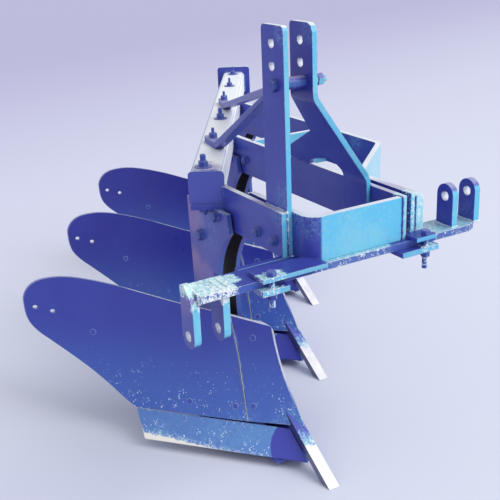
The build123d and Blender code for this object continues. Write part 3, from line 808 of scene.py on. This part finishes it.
clamp_heads = [((x, y, 728), UP) for x, y in CLAMP_BOLTS]
fasteners("shaft_clamp_heads", clamp_heads, 24, 13, 6, 10, 12, 1)
clamp_nuts = [((x, y, 679.4), DOWN) for x, y in CLAMP_BOLTS]
fasteners("shaft_clamp_nuts", clamp_nuts, 24, 14, 6, 14, 14, 3)


def through_legs(places):
    # Both outer sides of every leg, where a bolt passes through its two plates.
    return [
        ((x + dx, y + dy, z), axis) for dx, dy, _ in BODIES for x, z in places for y, axis in LEG_SIDES
    ]


fasteners("leg_bolts", through_legs([(-545, 330), (-520, 200)]), 27, 14, 9, 19, 18, 3)
fasteners("leg_bolt_heads", through_legs([(-541, 664), (-437, 752)]), 30, 13, 7, 10, 20, 3)
BASE_BOLTS = ((-512, -124), (-483, -126))
base_nuts = [((x + dx, y + dy, 772), DOWN) for dx, dy, _ in BODIES for x, y in BASE_BOLTS]
fasteners("base_plate_nuts", base_nuts, 20, 13, 6.5, 20, 12, 2.5)


# Welds. A lumpy bead along every seam where bars, plates and lugs meet, painted over,
# pale on its crest with painted top light and some dust, painted sunlight on its
# forward side, and rubbed pale by the worn spots.
BEAD_STEP, BEAD_SIDES = 0.0045, 7
LUMP_SCALE, LUMP_HEIGHT = 95.0, 0.009


def bead_tree():
    w, given = new_tree("weld_bead", "Bead Radius")
    curve = w.add("GeometryNodeMeshToCurve", {}, {0: given["Geometry"]})
    even = w.add("GeometryNodeResampleCurve", {"mode": "LENGTH"}, {0: curve, "Length": BEAD_STEP})
    ring_sizes = {"Resolution": BEAD_SIDES, "Radius": given["Bead Radius"]}
    ring = w.add("GeometryNodeCurvePrimitiveCircle", {}, ring_sizes)
    tube = w.add("GeometryNodeCurveToMesh", {}, {0: even, "Profile Curve": ring, "Fill Caps": True})
    lumps = w.add("GeometryNodeInputPosition", {}, {}).noise(LUMP_SCALE, 1.0)
    outward = w.add("GeometryNodeInputNormal", {}, {})
    reach = (lumps - 0.5) * LUMP_HEIGHT
    push = w.add("ShaderNodeVectorMath", {"operation": "SCALE"}, {0: outward, "Scale": reach})
    shape = w.add("GeometryNodeSetPosition", {}, {0: tube, "Offset": push})
    return close_tree(w, w.add("GeometryNodeSetShadeSmooth", {}, {0: shape}), given)


beads = bead_tree()


def welds(name, lines, radius, finish, body="plough"):
    points = []
    edges = []
    for line in lines:
        first = len(points)
        points += [at(*place) for place in line]
        edges += [(first + i, first + i + 1) for i in range(len(line) - 1)]
    values = {"Bead Radius": radius / 1000, "Finish": finish}
    return grown(name, beads, points, edges, None, values, body)


def beam_ring(along, half, z_mid=837):
    # A rounded square round the beam.
    corners = []
    for across, up_by in (
        (-1, -0.7), (-1, 0.7), (-0.7, 1), (0.7, 1), (1, 0.7), (1, -0.7), (0.7, -1), (-0.7, -1), (-1, -0.7),
    ):
        x, y, z = on_beam(along, z_mid + half * up_by)
        corners.append((x + BEAM_WAY[Y] * half * across, y - BEAM_WAY[X] * half * across, z))
    return corners


weld_worn = [(place, reach * 1.5, 1.0) for place, reach, _ in frame_worn]
weld_paint = enamel("weld_enamel", weld_worn, top_light_and_dust=0.55, forward_light=0.6, outline=0.0)
frame_seams = [
    beam_ring(8, 51),
    beam_ring(1742, 51),
    [(-107, -73, 720), (-107, -73, BAR_TOP), (-212, -73, BAR_TOP), (-212, -73, 720)],
    [(-107, -58, BAR_TOP), (-212, -58, BAR_TOP)],
    [(-43, 256, BAR_FOOT), (-43, 256, BAR_TOP), (-25, 256, BAR_TOP), (-25, 256, BAR_FOOT)],
    [(-280, 256, 736), (-280, 256, BAR_TOP), (-168, 256, BAR_TOP), (-168, 256, 736)],
    [(-484, 256, 843), (-580, 256, 843)],
    [(-580, 274, 843), (-484, 274, 843)],
    [(-275, 322, 832), (-36, 313, 832), (-36, 313, BAR_FOOT)],
    [(-848, 274, BAR_FOOT), (-848, 274, BAR_TOP), (-866, 274, BAR_TOP), (-866, 274, BAR_FOOT)],
    [(-848, 584, BAR_FOOT), (-848, 584, BAR_TOP), (-866, 584, BAR_TOP), (-866, 584, BAR_FOOT)],
    [(-425, -92, 790), (-425, -92, BAR_TOP)],
    [(-966, 255, 790), (-966, 255, BAR_TOP)],
    [(-30, 295, 728), (-100, 295, 728)],
]
welds("frame_welds", frame_seams, 3.6, weld_paint)
head_seams = [
    [(-560 + dx, y + dy, 771), (-385 + dx, y + dy, 771)] for dx, dy, _ in BODIES for y, _ in LEG_SIDES
]
welds("leg_head_welds", head_seams, 3.2, weld_paint)
shaft_weld_paint = enamel("shaft_weld_enamel", bright=shaft_bright, top_light_and_dust=0.5, forward_light=0.6, outline=0.0)
SHAFT_TOP = 716
shaft_seams = [
    [(-85, -395, SHAFT_TOP), (-30, -395, SHAFT_TOP), (-19, -395, 705), (-19, -395, 690)],
    [(-85, -329, SHAFT_TOP), (-19, -329, SHAFT_TOP)],
    [(-85, -309, SHAFT_TOP), (-19, -309, SHAFT_TOP)],
    [(-85, -329, 695), (-19, -329, 695), (-19, -309, 695), (-85, -309, 695)],
]
for y in (437, 523):
    corners = ((-85, y), (-19, y), (-19, y + 20), (-85, y + 20), (-85, y))
    shaft_seams.append([(*corner, SHAFT_TOP) for corner in corners])
welds("shaft_welds", shaft_seams, 3.4, shaft_weld_paint, "cross_shaft")


# Plough bolts. Flush round heads let into the moldboards, shins and shares, set by
# casting a line on each plate from ahead.
def hit(part, start):
    # Where a line cast backwards from start meets the plate, and how it faces there.
    corners = [vertex.co.copy() for vertex in part.data.vertices]
    lookup = BVHTree.FromPolygons(corners, [polygon.vertices[:] for polygon in part.data.polygons])
    return lookup.ray_cast(at(*start), Vector((-1, 0, 0)))[:2]


RAY_START, SUNK = 200, 0.6
heads = {"plough_bolts": [], "share_bolts": []}
for k, (dx, dy, _) in enumerate(BODIES):
    for part_name, y, z in (
        ("moldboard", -232, 146),
        ("moldboard", -128, 149),
        ("moldboard", -433, 342),
        ("shin", -87, 155),
        ("shin", -41, 352),
        ("share", -166.7, 94.9),
        ("share", -257.6, 93.1),
    ):
        name = f"{part_name}_{k + 1}"
        place, facing = hit(sheets.get(name) or nodes[name], (RAY_START + dx, y + dy, z))
        if place is not None:
            kept = heads["share_bolts" if part_name == "share" else "plough_bolts"]
            kept.append(((place - TIP) * 1000 - facing * SUNK, facing))


def head_tree():
    w, given = new_tree("plough_bolt")
    head = disc(w, 22, 0.0098, 0.0110, 0.0013)
    sockets = {"Points": given["Geometry"], "Instance": head, "Rotation": aimed(w)}
    return close_tree(w, w.add("GeometryNodeInstanceOnPoints", {}, sockets), given)


bolt_paint = enamel("plough_bolt_enamel", forward_light=0.0, top_light_and_dust=0.0, outline=1.0, chips=0.8,
                    base=(TONES[0][0], rgba(0.06, 0.10, 0.45)))
share_bolt_paint = enamel("share_bolt_enamel", forward_light=0.0, top_light_and_dust=0.0, outline=1.2, chips=0.8,
                          base=(rgba(0.10, 0.22, 0.56), SHARE_TONES[1]))
bolt_heads = head_tree()
for label, finish in (("plough_bolts", bolt_paint), ("share_bolts", share_bolt_paint)):
    seats = [at(*place) for place, _ in heads[label]]
    ways = [facing for _, facing in heads[label]]
    grown(label, bolt_heads, seats, [], ways, {"Finish": finish})

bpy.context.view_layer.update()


# Studio. A plain pale lilac floor that runs out of sight, an even sky, and one broad
# soft light from ahead and above.
FAR, BELOW = 60, -0.001
floor_mesh = bpy.data.meshes.new("floor")
floor_corners = [(-FAR, -FAR, BELOW), (FAR, -FAR, BELOW), (FAR, FAR, BELOW), (-FAR, FAR, BELOW)]
floor_mesh.from_pydata(floor_corners, [], [(0, 1, 2, 3)])
floor = bpy.data.objects.new("floor", floor_mesh)
scene.collection.objects.link(floor)
floor_finish, tree, shader, w = new_finish("floor_lilac")
coords = w.add("ShaderNodeTexCoord", {}, {}, OBJECT)
depth = coords.dot((-0.865, 0.501, 0.0))
across = coords.dot((0.514, 0.857, 0.0))
fade = (depth - across * 0.9).step(-1.5, 11.0)
lilac = w.tint(fade, rgba(0.62, 0.65, 0.77), rgba(0.42, 0.41, 0.60))
close_by = (depth + across * 0.35).step(-0.75, -1.75)
lilac = w.tint(close_by * 0.8, lilac, rgba(0.45, 0.45, 0.66))
tree.links.new(lilac.socket, shader.inputs["Base Color"])
shader.inputs["Roughness"].default_value = 0.9
shader.inputs["Specular IOR Level"].default_value = 0.1
floor_mesh.materials.append(floor_finish)
sun_data = bpy.data.lights.new("soft_light", "SUN")
sun_data.energy = 2.0
sun_data.angle = math.radians(40)
sun = bpy.data.objects.new("soft_light", sun_data)
sun.rotation_euler = Vector((0.55, 0.42, 0.72)).to_track_quat("Z", "Y").to_euler()
scene.collection.objects.link(sun)
world = bpy.data.worlds.new("sky")
scene.world = world
world.use_nodes = True
sky = world.node_tree.nodes["Background"]
sky.inputs["Color"].default_value = rgba(1.0, 1.0, 1.0)
sky.inputs["Strength"].default_value = 0.75
scene.view_settings.view_transform = "Standard"
